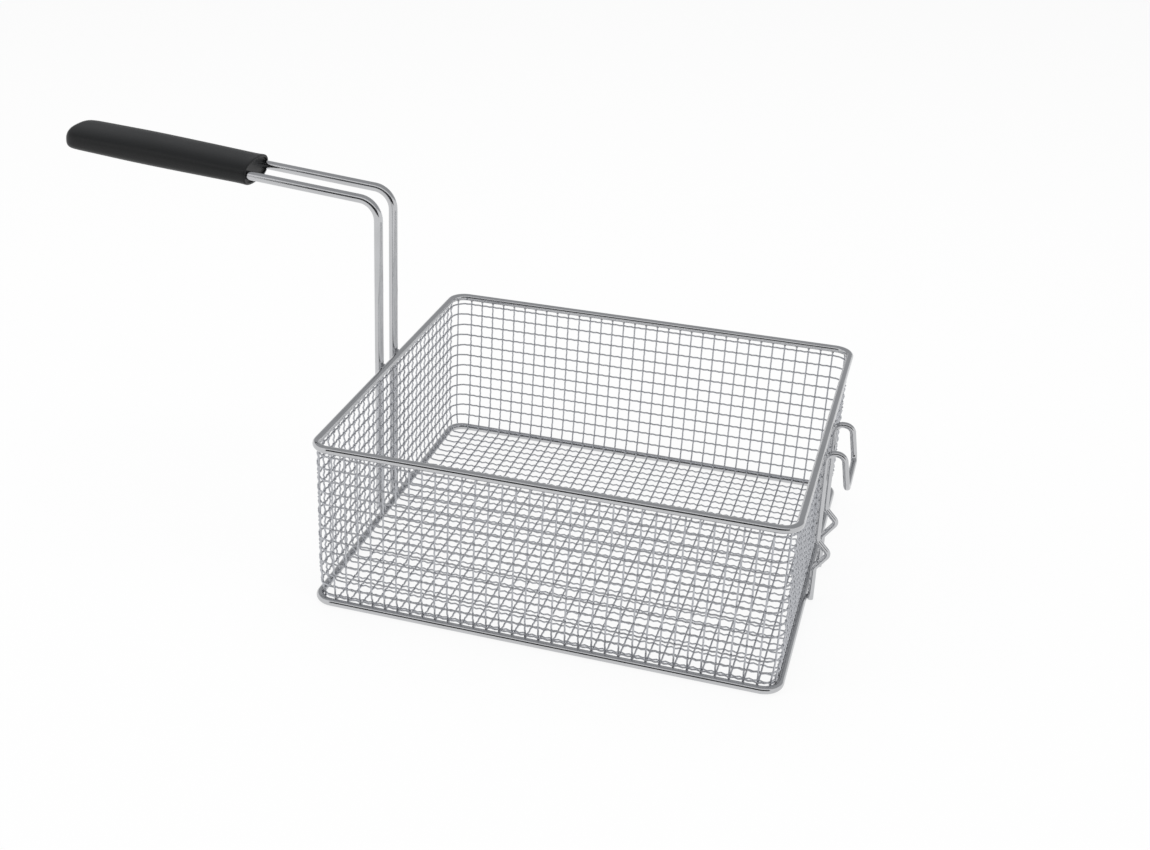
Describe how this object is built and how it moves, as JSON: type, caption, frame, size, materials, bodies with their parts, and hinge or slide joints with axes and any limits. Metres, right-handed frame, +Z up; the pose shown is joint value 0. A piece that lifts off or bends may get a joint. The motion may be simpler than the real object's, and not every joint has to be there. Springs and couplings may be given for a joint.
{
  "type": "deep fryer basket",
  "caption": "Rectangular woven wire deep fryer basket with a round rim rod, a raised rod handle with a black grip, and a bent wire hanger at the far end.",
  "frame": {"origin": "middle of the basket, on the surface that its foot rod stands on", "axes": "+X from the handle end towards the hanger end, +Y across the basket, +Z up"},
  "size_m": [0.5554, 0.279, 0.2562],
  "materials": {
    "steel_rod": "polished",
    "steel_wire": "bright drawn",
    "black_grip": "soft satin"
  },
  "bodies": {
    "root": {"rim_rod": "steel_rod", "foot_rod": "steel_rod", "front_mesh": "steel_wire", "back_mesh": "steel_wire", "handle_end_mesh": "steel_wire", "hanger_end_mesh": "steel_wire", "floor_mesh": "steel_wire", "handle_rod": "steel_rod", "grip": "black_grip", "hanger": "steel_rod"}
  },
  "joints": []
}
